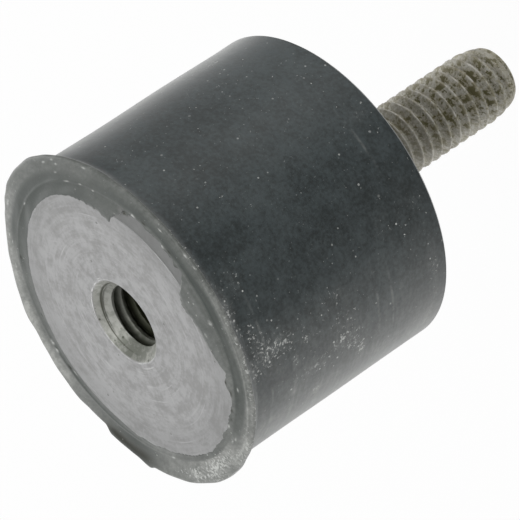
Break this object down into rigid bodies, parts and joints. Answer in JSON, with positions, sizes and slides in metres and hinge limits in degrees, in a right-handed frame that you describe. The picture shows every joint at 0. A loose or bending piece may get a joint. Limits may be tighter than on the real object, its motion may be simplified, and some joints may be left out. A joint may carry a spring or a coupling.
{
  "type": "bobbin vibration mount",
  "caption": "Cylindrical rubber vibration mount with a threaded stud at one end and a tapped steel face at the other.",
  "frame": {"origin": "centre of the seating face at the stud end, on the mount's axis", "axes": "+Z along the axis from the stud end to the tapped end; the stud points along -Z"},
  "size_m": [0.0273, 0.0272, 0.0387],
  "materials": {
    "rubber": "satin black moulded rubber with dust and light scuffs",
    "insert_steel": "matte grey turned steel face",
    "plate_steel": "matte grey steel",
    "stud_steel": "dull grey thread with dark stains in its grooves"
  },
  "bodies": {
    "root": {"rubber_body": "rubber", "tapped_insert": "insert_steel", "stud_plate": "plate_steel", "threaded_stud": "stud_steel"}
  },
  "joints": []
}
